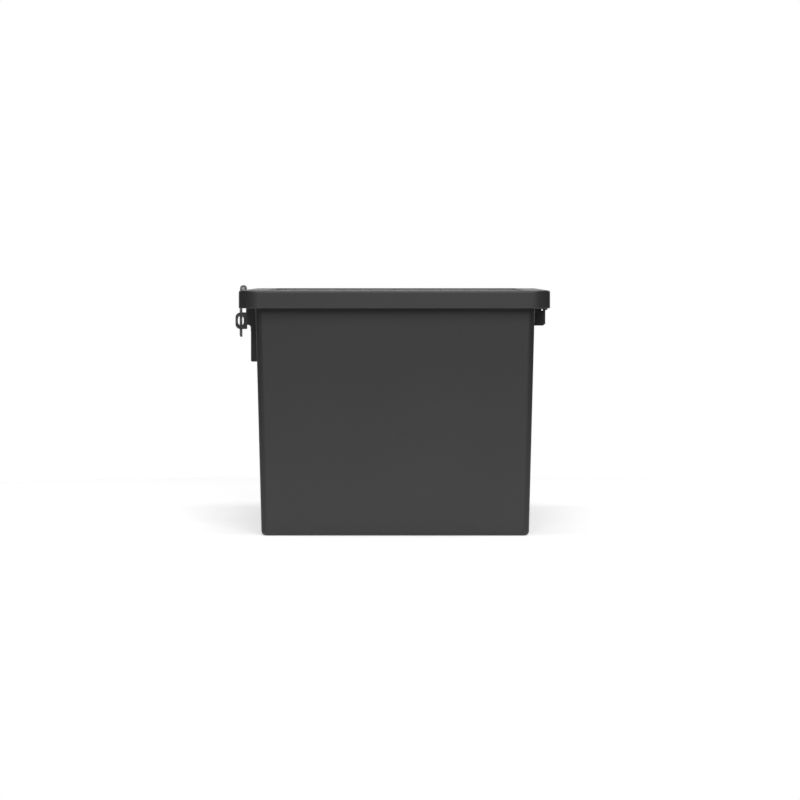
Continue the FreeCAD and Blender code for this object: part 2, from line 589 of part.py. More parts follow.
backing = new_body("latch_bracket_backing_plate")
face = new_sketch(backing, "XZ_Plane", f"-dims.wall * {LEAN}")
box_outline(face, "-dims.bracket_length / 2", "dims.bracket_length / 2",
            f"{BOLT_LOW} / {LEAN} - dims.nut_plate_margin",
            f"{BOLT_HIGH} / {LEAN} + dims.nut_plate_margin")
for x, up in BOLTS:
    circle(face, x, f"{up} / {LEAN}", CLEAR_BOLT)
grow(backing, face, "dims.backing_wall").Reversed = True
backing.setExpression("Placement.Base.y", "-dims.base_depth / 2")
backing.Placement.Rotation = FreeCAD.Rotation(FreeCAD.Vector(1, 0, 0), value("dims.draft"))

nuts = []
NUT_START = f"(dims.wall * {LEAN} + dims.backing_wall)"
for n, (x, up) in enumerate(BOLTS):
    nut = doc.addObject("Part::Prism", f"nut_block_{n}")
    nut.Polygon = 6
    nut.setExpression("Circumradius", "dims.nut_radius")
    nut.setExpression("Height", "dims.nut_height")
    nut.setExpression("Placement.Base.x", x)
    nut.setExpression("Placement.Base.y", f"{wall_spot(up)} + {NUT_START} * {LEAN}")
    nut.setExpression("Placement.Base.z", f"{up} + {NUT_START} * sin(dims.draft * 1deg)")
    wall_turn(nut, True)
    nuts.append(subtract(f"nut_{n}", nut, square_to_wall(
        f"nut_bore_{n}", x, up, "dims.bolt_radius", "0",
        f"{NUT_START} + dims.nut_height + {OVERCUT}")))
join("latch_bracket_nuts", nuts)

# ---- eye plate: joggled steel plate with two welded ears, screwed to the bracket ----
eye_plate = new_body("eye_plate")
EYE_HIGH = f"({HIGH_FACE} + dims.eye_plate_wall)"
EYE_LOW = f"({LOW_FACE} + dims.eye_plate_wall)"
EYE_STEP = f"({BRACKET_STEP} - dims.eye_plate_wall)"
EYE_BOTTOM = f"({BRACKET_STEP} - dims.eye_plate_drop)"
bend = new_sketch(eye_plate, "YZ_Plane")
outline(bend, [
    (f"-{LOW_FACE}", EYE_BOTTOM),
    (f"-{LOW_FACE}", BRACKET_STEP),
    (f"-{HIGH_FACE}", BRACKET_STEP),
    (f"-{HIGH_FACE}", BRACKET_TOP),
    (f"-{EYE_HIGH}", BRACKET_TOP),
    (f"-{EYE_HIGH}", EYE_STEP),
    (f"-{EYE_LOW}", EYE_STEP),
    (f"-{EYE_LOW}", EYE_BOTTOM),
])
grow(eye_plate, bend, "dims.eye_plate_length", both=True)
round_edges(eye_plate, "dims.joggle_radius",
            lambda edge: all_at(edge, 1, -value(EYE_LOW)) and all_at(edge, 2, value(EYE_STEP)))
LUG_FRONT = f"({HIGH_FACE} + dims.lug_reach)"
LUG_BOTTOM = f"({BRACKET_STEP} - dims.lug_drop)"
LUG_TOP = f"({BRACKET_STEP} + dims.lug_rise)"
for side in ("", "-"):
    lug = new_sketch(eye_plate, "YZ_Plane", f"{side}({EAR_START} + dims.lug_wall / 2)")
    box_outline(lug, f"-{LUG_FRONT}", f"-{EYE_HIGH} + dims.eye_plate_wall / 4", LUG_BOTTOM, LUG_TOP)
    grow(eye_plate, lug, "dims.lug_wall", both=True)
round_edges(eye_plate, "dims.lug_corner",
            lambda edge: all_at(edge, 1, -value(LUG_FRONT))
            and abs(edge.tangentAt(edge.FirstParameter).x) > 0.9)
eye = new_sketch(eye_plate, "YZ_Plane")
eye.setExpression("AttachmentOffset.Base.x", f"dims.eye_width / 2 + dims.eye_rim - {LUG_FRONT}")
rounded_box(eye, "dims.eye_width", "dims.lug_drop + dims.lug_rise - dims.eye_low_rim"
            " - dims.eye_high_rim", "dims.eye_corner",
            f"({LUG_BOTTOM} + {LUG_TOP} + dims.eye_low_rim - dims.eye_high_rim) / 2")
cut(eye_plate, eye, f"2 * ({EAR_START} + dims.lug_wall + {OVERCUT})", both=True)
EYE_SCREWS = [(f"({sign} dims.eye_screw_spread / 2)".replace("+ ", ""), up)
              for up in (f"{BRACKET_STEP} + dims.eye_screw_rise",
                         f"{BRACKET_TOP} - dims.eye_screw_drop") for sign in ("-", "+")]
for x, up in EYE_SCREWS:
    countersink(eye_plate, x, f"-{EYE_HIGH}", up, TOWARDS_BACK)
    countersink(bracket, x, f"-{EYE_HIGH}", up, TOWARDS_BACK, "dims.screw_radius",
                "dims.eye_screw_length")
join("eye_plate_screws", [
    flat_screw(f"eye_screw_{n}", x, f"-{EYE_HIGH}", up, "dims.eye_screw_length", TOWARDS_BACK)
    for n, (x, up) in enumerate(EYE_SCREWS)])

# ---- latch mount on the lid: plate with two ears, its backing plate, pin, bush and strap ----
MOUNT_BOTTOM = f"({SKIRT_BOTTOM} + dims.mount_rise)"
MOUNT_TOP = f"({LID_TOP} - dims.mount_drop)"
MOUNT_SCREW_UP = f"(({MOUNT_BOTTOM} + {MOUNT_TOP}) / 2)"
MOUNT_FACE = f"-({LID_FRONT} + dims.mount_wall)"
MOUNT_SCREWS = ("-dims.mount_screw_spread / 2", "dims.mount_screw_spread / 2")
mount = new_body("latch_mount")
plate = new_sketch(mount, "XZ_Plane", LID_FRONT)
box_outline(plate, "-dims.mount_length / 2", "dims.mount_length / 2", MOUNT_BOTTOM, MOUNT_TOP)
grow(mount, plate, "dims.mount_wall")
for side in ("", "-"):
    middle = f"{side}({EAR_START} + dims.ear_wall / 2)"
    web = new_sketch(mount, "YZ_Plane", middle)
    face_y = f"-({LID_FRONT} + dims.mount_wall / 2)"
    outline(web, [
        (face_y, f"{MOUNT_BOTTOM} + dims.mount_foot"),
        (face_y, MOUNT_TOP),
        (f"dims.web_back - {LATCH_FRONT}", LATCH_UP),
        (f"-({LATCH_FRONT} + dims.latch_knuckle_radius)", LATCH_UP),
        (f"-({LATCH_FRONT} + dims.latch_knuckle_radius)", f"{LATCH_UP} - dims.web_drop"),
    ])
    grow(mount, web, "dims.ear_wall", both=True)
    ear = new_sketch(mount, "YZ_Plane", middle)
    circle(ear, f"-{LATCH_FRONT}", LATCH_UP, "dims.latch_knuckle_radius")
    grow(mount, ear, "dims.ear_wall", both=True)
bore = new_sketch(mount, "YZ_Plane")
circle(bore, f"-{LATCH_FRONT}", LATCH_UP, "dims.latch_pin_radius")
cut(mount, bore, f"2 * ({EAR_START} + dims.ear_wall + {OVERCUT})", both=True)
for x in MOUNT_SCREWS:
    countersink(mount, x, MOUNT_FACE, MOUNT_SCREW_UP, TOWARDS_BACK)
    hole = new_sketch(lid, "XZ_Plane", f"{LID_FRONT} + {OVERCUT}")
    circle(hole, x, MOUNT_SCREW_UP, "(dims.screw_radius + dims.hole_gap)")
    cut(lid, hole, f"dims.lid_wall + 2 * {OVERCUT}")
join("latch_mount_screws", [
    flat_screw(f"mount_screw_{n}", x, MOUNT_FACE, MOUNT_SCREW_UP,
               "dims.mount_wall + dims.lid_wall + dims.backing_wall", TOWARDS_BACK)
    for n, x in enumerate(MOUNT_SCREWS)])
backing = new_body("latch_backing_plate")
face = new_sketch(backing, "XZ_Plane", f"{LID_FRONT} - dims.lid_wall - dims.backing_wall")
box_outline(face, "-dims.mount_length / 2", "dims.mount_length / 2",
            f"{MOUNT_BOTTOM} + dims.mount_foot", f"{MOUNT_TOP} - dims.mount_foot")
for x in MOUNT_SCREWS:
    circle(face, x, MOUNT_SCREW_UP, "dims.screw_radius")
grow(backing, face, "dims.backing_wall")

PIN_HALF = f"({EAR_START} + dims.ear_wall)"
pin_parts = [primitive("Part::Cylinder", "latch_pin_shank", f"-{PIN_HALF}", f"-{LATCH_FRONT}",
                       LATCH_UP, ALONG_X, Radius="dims.latch_pin_radius",
                       Height=f"2 * {PIN_HALF}")]
for n, start in enumerate((f"-{PIN_HALF} - dims.pin_head", PIN_HALF)):
    pin_parts.append(primitive("Part::Cylinder", f"latch_pin_head_{n}", start, f"-{LATCH_FRONT}",
                               LATCH_UP, ALONG_X, Radius="dims.pin_head_radius",
                               Height="dims.pin_head"))
join("latch_pin", pin_parts)
BUSH_OUT = "(dims.latch_pin_radius + dims.pin_gap + dims.bush_wall)"
bush = new_body("latch_bush")
ring = new_sketch(bush, "YZ_Plane")
circle(ring, f"-{LATCH_FRONT}", LATCH_UP, BUSH_OUT)
circle(ring, f"-{LATCH_FRONT}", LATCH_UP, "(dims.latch_pin_radius + dims.pin_gap)")
grow(bush, ring, "dims.strap_width", both=True)

STRAP_FRONT = f"-({LATCH_FRONT} + dims.strap_out)"
STRAP_BOTTOM = f"({LATCH_UP} - dims.strap_drop)"
strap = new_body("latch_strap")
blade = new_sketch(strap, "YZ_Plane")
outline(blade, [
    (STRAP_FRONT, f"{STRAP_BOTTOM} + dims.strap_taper"),
    (STRAP_FRONT, f"{LATCH_UP} - dims.strap_neck"),
    (f"-({LATCH_FRONT} + dims.latch_knuckle_radius)", LATCH_UP),
    (f"{STRAP_FRONT} + dims.strap_wall", LATCH_UP),
    (f"{STRAP_FRONT} + dims.strap_wall", STRAP_BOTTOM),
    (f"{STRAP_FRONT} + dims.strap_tip", STRAP_BOTTOM),
])
grow(strap, blade, "dims.strap_width", both=True)
knuckle = new_sketch(strap, "YZ_Plane")
circle(knuckle, f"-{LATCH_FRONT}", LATCH_UP, "dims.latch_knuckle_radius")
grow(strap, knuckle, "dims.strap_width", both=True)
bore = new_sketch(strap, "YZ_Plane")
circle(bore, f"-{LATCH_FRONT}", LATCH_UP, BUSH_OUT)
cut(strap, bore, f"dims.strap_width + 2 * {OVERCUT}", both=True)

settle()
for item in NODES:
    shape = item.Shape
    if shape.isNull() or not shape.isValid() or not shape.Solids:
        raise RuntimeError(f"{item.Label} is not a valid solid")
for item in NODES:
    item.Shape.exportStep(f"parts/{item.Label}.step")
print(len(NODES), "nodes")
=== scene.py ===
from math import cos, pi, radians, sin

import bmesh
import bpy
from mathutils import Matrix, Vector


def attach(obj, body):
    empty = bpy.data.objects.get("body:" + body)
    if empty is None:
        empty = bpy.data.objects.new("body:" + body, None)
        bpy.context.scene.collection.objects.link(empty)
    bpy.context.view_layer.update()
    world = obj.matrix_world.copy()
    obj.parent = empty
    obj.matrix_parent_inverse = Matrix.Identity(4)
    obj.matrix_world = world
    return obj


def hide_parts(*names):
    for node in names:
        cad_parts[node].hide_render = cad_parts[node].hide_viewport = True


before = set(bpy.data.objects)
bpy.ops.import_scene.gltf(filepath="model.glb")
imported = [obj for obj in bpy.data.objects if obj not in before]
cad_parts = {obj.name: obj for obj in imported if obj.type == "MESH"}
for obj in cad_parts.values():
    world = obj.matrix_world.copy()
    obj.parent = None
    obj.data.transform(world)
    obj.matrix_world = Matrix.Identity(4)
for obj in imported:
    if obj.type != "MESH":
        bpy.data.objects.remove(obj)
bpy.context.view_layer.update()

MM = 0.001


# ---- camera ----
# A long lens looks at the bin's near end from five metres away and a little above the lid, nearly
# level, so that the lid's top shows only as a thin line.
CAMERA_SPOT = Vector((5.1576, 0.0178, 0.3434))
CAMERA_LENS = 171.0
SENSOR_WIDTH = 36
FARTHEST = 60
LOOK_DOWN = 0.03444
LOOK_ASIDE = -0.00237

camera = bpy.data.objects.new("camera", bpy.data.cameras.new("camera"))
bpy.context.collection.objects.link(camera)
ahead = Vector((-cos(LOOK_DOWN) * cos(LOOK_ASIDE), cos(LOOK_DOWN) * sin(LOOK_ASIDE),
                -sin(LOOK_DOWN)))
camera.location = CAMERA_SPOT
camera.rotation_euler = ahead.to_track_quat("-Z", "Y").to_euler()
camera.data.lens = CAMERA_LENS
camera.data.sensor_width = SENSOR_WIDTH
camera.data.clip_end = FARTHEST
bpy.context.scene.camera = camera


# ---- studio ----
# A round pale paper floor under a white sky, with a large soft box overhead, a weak fill from the
# camera's side and a white panel behind, which gives the lid's top its bright line. The sky is dim
# to everything but the camera, so the round corners at the sides darken.
def colour(code):
    """sRGB hex, such as "8a8a8a", as linear red, green, blue and alpha."""
    parts = [int(code[n:n + 2], 16) / 255 for n in (0, 2, 4)]
    return tuple(p / 12.92 if p <= 0.04045 else ((p + 0.055) / 1.055) ** 2.4 for p in parts) + (1,)


def node(tree, kind, settings=(), **sockets):
    """Add a node with its own settings; a socket is given a value or another node's output."""
    made = tree.nodes.new("ShaderNode" + kind)
    for key, setting in dict(settings).items():
        setattr(made, key, setting)
    for key, given in sockets.items():
        which = int(key[1:]) if key[1:].isdigit() else key.replace("_", " ")
        socket = made.inputs[which]
        if isinstance(given, bpy.types.NodeSocket):
            tree.links.new(given, socket)
        else:
            socket.default_value = given
    return made


def area_light(name, spot, aim, width, height, power):
    lamp = bpy.data.lights.new(name, "AREA")
    lamp.shape = "RECTANGLE"
    lamp.size = width
    lamp.size_y = height
    lamp.energy = power
    item = bpy.data.objects.new(name, lamp)
    item.location = spot
    item.rotation_euler = (Vector(aim) - Vector(spot)).to_track_quat("-Z", "Y").to_euler()
    bpy.context.collection.objects.link(item)


area_light("overhead_softbox", spot=(0.4, 0, 2.6), aim=(0.1, 0, 0.2), width=2.6, height=1.2,
           power=52)
area_light("front_fill", spot=(3.8, 0.3, 2.3), aim=(0, 0, 0.15), width=1.8, height=2.8, power=110)
area_light("back_panel", spot=(-4.6, 0, 1.0), aim=(0, 0, 0.5), width=6.0, height=2.6, power=75)

SKY_DIM = 0.05
WHITE = (1, 1, 1, 1)
world = bpy.data.worlds.new("studio")
bpy.context.scene.world = world
world.use_nodes = True
sky = world.node_tree
sky.nodes.clear()
seen = node(sky, "Background", Color=WHITE, Strength=1.0)
dim = node(sky, "Background", Color=WHITE, Strength=SKY_DIM)
ray = node(sky, "LightPath")
mixed = node(sky, "MixShader", _0=ray.outputs["Is Camera Ray"], _1=dim.outputs[0],
             _2=seen.outputs[0])
node(sky, "OutputWorld", Surface=mixed.outputs[0])
bpy.context.scene.view_settings.view_transform = "Standard"

FLOOR_RADIUS = 1.15
FLOOR_SIDES = 96
FLOOR_GLOW = 0.5
FLOOR_TONES = (0.62, 0.66)
FLOOR_CLOUDS_PER_METRE = 1.5
floor_mesh = bpy.data.meshes.new("studio_floor")
turns = [2 * pi * n / FLOOR_SIDES for n in range(FLOOR_SIDES)]
floor_rim = [(FLOOR_RADIUS * cos(t), FLOOR_RADIUS * sin(t), 0) for t in turns]
floor_mesh.from_pydata(floor_rim, [], [tuple(range(FLOOR_SIDES))])
studio_floor = bpy.data.objects.new("studio_floor", floor_mesh)
bpy.context.collection.objects.link(studio_floor)
pale = bpy.data.materials.new("pale_paper_floor")
pale.use_nodes = True
tree = pale.node_tree
tree.nodes.clear()
place = node(tree, "TexCoord").outputs["Object"]
cloud = node(tree, "TexNoise", Vector=place, Scale=FLOOR_CLOUDS_PER_METRE, Detail=2.0).outputs[0]
tone = node(tree, "MapRange", Value=cloud, To_Min=FLOOR_TONES[0], To_Max=FLOOR_TONES[1]).outputs[0]
paper = node(tree, "BsdfPrincipled", Base_Color=tone, Roughness=0.9, Emission_Color=WHITE,
             Emission_Strength=FLOOR_GLOW)
node(tree, "OutputMaterial", Surface=paper.outputs[0])
floor_mesh.materials.append(pale)


# ---- bin body ----
# One moulding of charcoal polypropylene with a spark-eroded skin, 3.5 mm thick, drafted so that it
# leaves the mould. Flow clouds and short pale scuffs show faintly in the skin.
CLOUD_MM = 140
CLOUD_TINT = 0.1
CLOUD_GLOSS = 0.05
SCUFF_MM = 3.0
SCUFF_PATCH_MM = 20 * SCUFF_MM
SCUFF_STRETCH = (1.0, 1.0, 0.12)
SCUFF_TILT = (0.35, 0.2, 0)
GRAIN_HEIGHT_MM = 0.4
PLASTIC_IOR = 1.49


def moulded(name, base, worn, grain_mm=1.6, roughness=0.55, relief=0.06, scuff=0.5):
    """Moulded plastic: even colour with flow clouds, fine grain in the relief and pale scuffs."""
    material = bpy.data.materials.new(name)
    material.use_nodes = True
    tree = material.node_tree
    tree.nodes.clear()
    place = node(tree, "TexCoord").outputs["Object"]
    clouds = node(tree, "TexNoise", Vector=place, Scale=1 / (CLOUD_MM * MM), Detail=3.0).outputs[0]
    grain = node(tree, "TexNoise", Vector=place, Scale=1 / (grain_mm * MM), Detail=2.0).outputs[0]
    along = node(tree, "Mapping", Vector=place, Scale=SCUFF_STRETCH, Rotation=SCUFF_TILT).outputs[0]
    lines = node(tree, "TexNoise", Vector=along, Scale=1 / (SCUFF_MM * MM), Detail=3.0).outputs[0]
    where = node(tree, "TexNoise", Vector=place, Scale=1 / (SCUFF_PATCH_MM * MM),
                 Detail=2.0).outputs[0]
    mark = node(tree, "MapRange", Value=lines, From_Min=0.66, From_Max=0.74).outputs[0]
    patch = node(tree, "MapRange", Value=where, From_Min=0.5, From_Max=0.7, To_Max=scuff).outputs[0]
    scuffs = node(tree, "Math", {"operation": "MULTIPLY"}, _0=mark, _1=patch).outputs[0]
    tint = node(tree, "MapRange", Value=clouds, To_Min=1 - CLOUD_TINT,
                To_Max=1 + CLOUD_TINT).outputs[0]
    even = node(tree, "Mix", {"data_type": "RGBA", "blend_type": "MULTIPLY"}, _0=1.0,
                _6=colour(base), _7=tint).outputs[2]
    skin = node(tree, "Mix", {"data_type": "RGBA"}, _0=scuffs, _6=even, _7=colour(worn)).outputs[2]
    gloss = node(tree, "MapRange", Value=clouds, To_Min=roughness - CLOUD_GLOSS,
                 To_Max=roughness + CLOUD_GLOSS).outputs[0]
    bump = node(tree, "Bump", Height=grain, Strength=relief,
                Distance=GRAIN_HEIGHT_MM * MM).outputs[0]
    surface = node(tree, "BsdfPrincipled", Base_Color=skin, Roughness=gloss, Normal=bump,
                   IOR=PLASTIC_IOR)
    node(tree, "OutputMaterial", Surface=surface.outputs[0])
    return material


SHARP_EDGE = radians(40)


def dress(name, material, bevel_mm=0.0, segments=2):
    """Give a CAD node its finish, and break its sharp edges with a small bevel."""
    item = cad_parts[name]
    item.data.materials.clear()
    item.data.materials.append(material)
    if bevel_mm:
        edge = item.modifiers.new("broken_edges", "BEVEL")
        edge.width = bevel_mm * MM
        edge.segments = segments
        edge.limit_method = "ANGLE"
        edge.angle_limit = SHARP_EDGE
        edge.use_clamp_overlap = True


BODY_ROUGHNESS = 0.46
bin_plastic = moulded("charcoal_polypropylene", "252525", "333334", roughness=BODY_ROUGHNESS)
dress("bin_body", bin_plastic)


# ---- lid ----
# A shallow moulding of the same plastic with a deep skirt, a sunk panel on top, crossing ribs
# underneath and a plug wall that drops inside the bin's mouth.
# The lid's copy of the body's plastic is painted a shade lighter (29292a against 252525, and 38383a
# against 333334 for its scuffs). This is painted light: it stands in for the lid's face catching
# more light than the walls below it.
lid_plastic_painted_lighter = moulded("charcoal_polypropylene_lid_painted_lighter", "29292a", "38383a", roughness=BODY_ROUGHNESS)
dress("lid_shell", lid_plastic_painted_lighter)


# ---- lid gasket ----
# A ring of closed-cell foam bonded under the lid, which closes on the rim. Its skin shows the
# small cut cells.
PORE_DEPTH_MM = 0.2


def foam(name, base, shaded_pore, cell_mm):
    """Cut foam: pores of about one cell's size sunk between paler walls, each painted darker
    towards its hollow middle as painted shade.
    """
    material = bpy.data.materials.new(name)
    material.use_nodes = True
    tree = material.node_tree
    tree.nodes.clear()
    place = node(tree, "TexCoord").outputs["Object"]
    cells = node(tree, "TexVoronoi", Vector=place, Scale=1 / (cell_mm * MM)).outputs[0]
    depth_and_shade = node(tree, "MapRange", Value=cells, From_Max=0.5).outputs[0]
    # The pores are painted darker where they sink deepest. This is painted shade in the hollows,
    # added to the bump.
    skin = node(tree, "Mix", {"data_type": "RGBA"}, _0=depth_and_shade, _6=colour(shaded_pore), _7=colour(base))
    bump = node(tree, "Bump", Height=depth_and_shade, Strength=0.5, Distance=PORE_DEPTH_MM * MM).outputs[0]
    surface = node(tree, "BsdfPrincipled", Base_Color=skin.outputs[2], Roughness=0.9, Normal=bump)
    node(tree, "OutputMaterial", Surface=surface.outputs[0])
    return material


gasket_foam = foam("closed_cell_foam", "191919", "0b0b0b", cell_mm=0.7)
dress("lid_gasket", gasket_foam, bevel_mm=0.8)


# ---- rear hinges ----
# Two butt hinges of powder-coated steel. Each base leaf is screwed into brass inserts in a moulded
# boss, each lid leaf through the skirt into a tapped plate, and a pin runs through three knuckles.
RUB_MM = 6
RUB_STRENGTH = 0.6
RUB_GLOSS = 0.08
PEEL_HEIGHT_MM = 0.1
COAT_IOR = 1.5


def coated(name, base, chip, peel_mm=1.2, roughness=0.42):
    """Powder coat: a fine orange-peel relief, slightly uneven tone and a few rubbed spots."""
    material = bpy.data.materials.new(name)
    material.use_nodes = True
    tree = material.node_tree
    tree.nodes.clear()
    place = node(tree, "TexCoord").outputs["Object"]
    peel = node(tree, "TexNoise", Vector=place, Scale=1 / (peel_mm * MM), Detail=1.0).outputs[0]
    rubs = node(tree, "TexNoise", Vector=place, Scale=1 / (RUB_MM * MM), Detail=4.0).outputs[0]
    spots = node(tree, "MapRange", Value=rubs, From_Min=0.62, From_Max=0.72,
                 To_Max=RUB_STRENGTH).outputs[0]
    skin = node(tree, "Mix", {"data_type": "RGBA"}, _0=spots, _6=colour(base), _7=colour(chip))
    gloss = node(tree, "MapRange", Value=rubs, To_Min=roughness - RUB_GLOSS,
                 To_Max=roughness + RUB_GLOSS)
    bump = node(tree, "Bump", Height=peel, Strength=0.25, Distance=PEEL_HEIGHT_MM * MM).outputs[0]
    surface = node(tree, "BsdfPrincipled", Base_Color=skin.outputs[2], Roughness=gloss.outputs[0],
                   Normal=bump, IOR=COAT_IOR)
    node(tree, "OutputMaterial", Surface=surface.outputs[0])
    return material


DULL_PATCH_MM = 7
GRAIN_GLOSS_LESS = 0.1
GRAIN_GLOSS_MORE = 0.14
PLATING_RELIEF_MM = 0.05


def plated(name, base, dull, grain_mm=0.5, roughness=0.32, lines=(1.0, 1.0, 1.0)):
    """Bare or plated metal: drawn lines or spangle in the gloss, with dull patches."""
    material = bpy.data.materials.new(name)
    material.use_nodes = True
    tree = material.node_tree
    tree.nodes.clear()
    place = node(tree, "TexCoord").outputs["Object"]
    drawn = node(tree, "Mapping", Vector=place, Scale=lines).outputs[0]
    grain = node(tree, "TexNoise", Vector=drawn, Scale=1 / (grain_mm * MM), Detail=3.0).outputs[0]
    patches = node(tree, "TexNoise", Vector=place, Scale=1 / (DULL_PATCH_MM * MM),
                   Detail=3.0).outputs[0]
    share = node(tree, "MapRange", Value=patches, From_Min=0.4, From_Max=0.65).outputs[0]
    skin = node(tree, "Mix", {"data_type": "RGBA"}, _0=share, _6=colour(base), _7=colour(dull))
    gloss = node(tree, "MapRange", Value=grain, To_Min=roughness - GRAIN_GLOSS_LESS,
                 To_Max=roughness + GRAIN_GLOSS_MORE)
    bump = node(tree, "Bump", Height=grain, Strength=0.12,
                Distance=PLATING_RELIEF_MM * MM).outputs[0]
    surface = node(tree, "BsdfPrincipled", Base_Color=skin.outputs[2], Metallic=1.0, Normal=bump,
                   Roughness=gloss.outputs[0])
    node(tree, "OutputMaterial", Surface=surface.outputs[0])
    return material


def ring_points(radius_at, height, count):
    """Points round the Z axis at a height, with a radius that may change with the angle."""
    angles = [2 * pi * n / count for n in range(count)]
    return [Vector((radius_at(t) * cos(t), radius_at(t) * sin(t), height)) for t in angles]


def turned(profile, socket, socket_depth, socket_taper, count=48):
    """A turned fastener from the rim of its top down to its tip, with a driver socket in the top.

    profile is (radius, height) pairs in mm, the top first at height 0. socket is the outline of
    the driver hole, which narrows by socket_taper over its depth.
    """
    form = bmesh.new()
    loops = [[form.verts.new(p * MM) for p in ring_points(lambda t, r=r: r, h, count)]
             for r, h in profile]
    for upper, lower in zip(loops, loops[1:]):
        for n in range(count):
            after = (n + 1) % count
            form.faces.new((upper[n], lower[n], lower[after], upper[after]))
    form.faces.new(loops[-1][::-1])
    mouth = [form.verts.new(Vector((x, y, 0)) * MM) for x, y in socket]
    base = [form.verts.new(Vector((x * socket_taper, y * socket_taper, -socket_depth)) * MM)
            for x, y in socket]
    size = len(socket)
    for n in range(size):
        after = (n + 1) % size
        form.faces.new((mouth[after], base[after], base[n], mouth[n]))
    form.faces.new(base)
    edges = [form.edges.get((loop[n], loop[(n + 1) % len(loop)])) for loop in (loops[0], mouth)
             for n in range(len(loop))]
    bmesh.ops.triangle_fill(form, edges=edges, use_beauty=True)
    bmesh.ops.recalc_face_normals(form, faces=form.faces)
    mesh = bpy.data.meshes.new("turned")
    form.to_mesh(mesh)
    form.free()
    return mesh


FIRST_TURN = 0.3
TURN_STEP = 0.7


def copies(name, mesh, spots, out, material, body, stands_for):
    """One piece of several copies of a mesh, each with its own +Z turned to point along out.

    Each copy is turned a little further than the last, as tightened screws stop at any angle.
    """
    turn = Vector(out).to_track_quat("Z", "Y").to_matrix().to_4x4()
    form = bmesh.new()
    for n, spot in enumerate(spots):
        one = mesh.copy()
        stop = Matrix.Rotation(TURN_STEP * n + FIRST_TURN, 4, "Z")
        one.transform(Matrix.Translation(spot) @ turn @ stop)
        form.from_mesh(one)
    joined = bpy.data.meshes.new(name)
    form.to_mesh(joined)
    form.free()
    joined.materials.append(material)
    piece = bpy.data.objects.new(name, joined)
    bpy.context.collection.objects.link(piece)
    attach(piece, body)
    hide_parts(stands_for)


def cross_socket(reach, half):
    """Outline of a cross-shaped driver hole."""
    corner = [(reach, -half), (reach, half), (half, half)]
    outline = []
    for turn in range(4):
        c, s = round(cos(turn * pi / 2)), round(sin(turn * pi / 2))
        outline += [(x * c - y * s, x * s + y * c) for x, y in corner]
    return outline


SCREW_RADIUS = 2.0
SCREW_TIP = 0.5
HEAD_RADIUS = 3.5
HEAD_DEPTH = 1.5
HEAD_EDGE_IN = 0.12
HEAD_EDGE_DOWN = 0.14
CROSS_REACH = 1.75
CROSS_HALF_WIDTH = 0.42
CROSS_DEPTH = 1.1
CROSS_TAPER = 0.55


def flat_screw(length):
    """A countersunk screw with a cross recess and a rounded tip, its flat face at height 0."""
    profile = [(HEAD_RADIUS - HEAD_EDGE_IN, 0), (HEAD_RADIUS, -HEAD_EDGE_DOWN),
               (SCREW_RADIUS, -HEAD_DEPTH), (SCREW_RADIUS, SCREW_TIP - length),
               (SCREW_RADIUS - SCREW_TIP, -length)]
    return turned(profile, cross_socket(CROSS_REACH, CROSS_HALF_WIDTH), CROSS_DEPTH, CROSS_TAPER)


def screws_in(node_name, length, out, body):
    """Detailed flat screws where the CAD node has plain ones, found from its separate shells."""
    spots = shells(node_name, out)
    copies(node_name + "_cross_head", flat_screw(length), spots, out, zinc, body,
           node_name)


JOIN_MM = 0.001
RIM_MM = 0.05


def shells(node_name, out):
    """The middle of the outermost face of each separate shell of a CAD node."""
    form = bmesh.new()
    form.from_mesh(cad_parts[node_name].data)
    bmesh.ops.remove_doubles(form, verts=form.verts, dist=JOIN_MM * MM)
    left = set(form.verts)
    spots = []
    along = Vector(out)
    while left:
        group, queue = [], [left.pop()]
        while queue:
            vert = queue.pop()
            group.append(vert)
            for edge in vert.link_edges:
                other = edge.other_vert(vert)
                if other in left:
                    left.remove(other)
                    queue.append(other)
        furthest = max(v.co.dot(along) for v in group)
        rim = [v.co for v in group if v.co.dot(along) > furthest - RIM_MM * MM]
        low = Vector([min(c[n] for c in rim) for n in range(3)])
        high = Vector([max(c[n] for c in rim) for n in range(3)])
        spots.append((low + high) / 2)
    form.free()
    return sorted(spots, key=lambda c: (round(c.x, 4), round(c.z, 4)))


zinc = plated("zinc_plate", "a9aaa6", "8b8c88")
hinge_coat = coated("dark_powder_coat", "37373a", "4c4c50")
pin_steel = plated("drawn_steel", "8f8f8d", "6f6f6d", lines=(0.08, 1.0, 1.0))
brass = plated("knurled_brass", "b5914f", "8f6f36", grain_mm=0.4)
BACK = (0, 1, 0)
BASE_SCREW_LENGTH = 9.5
LID_SCREW_LENGTH = 7.0
for side in ("left", "right"):
    dress(f"hinge_base_leaf_{side}", hinge_coat, bevel_mm=0.25)
    dress(f"hinge_lid_leaf_{side}", hinge_coat, bevel_mm=0.25)
    dress(f"hinge_pin_{side}", pin_steel, bevel_mm=0.35)
    dress(f"hinge_inserts_{side}", brass)
    dress(f"hinge_backing_plate_{side}", zinc, bevel_mm=0.3)
    screws_in(f"hinge_base_screws_{side}", BASE_SCREW_LENGTH, BACK, "bin")
    screws_in(f"hinge_lid_screws_{side}", LID_SCREW_LENGTH, BACK, "lid")


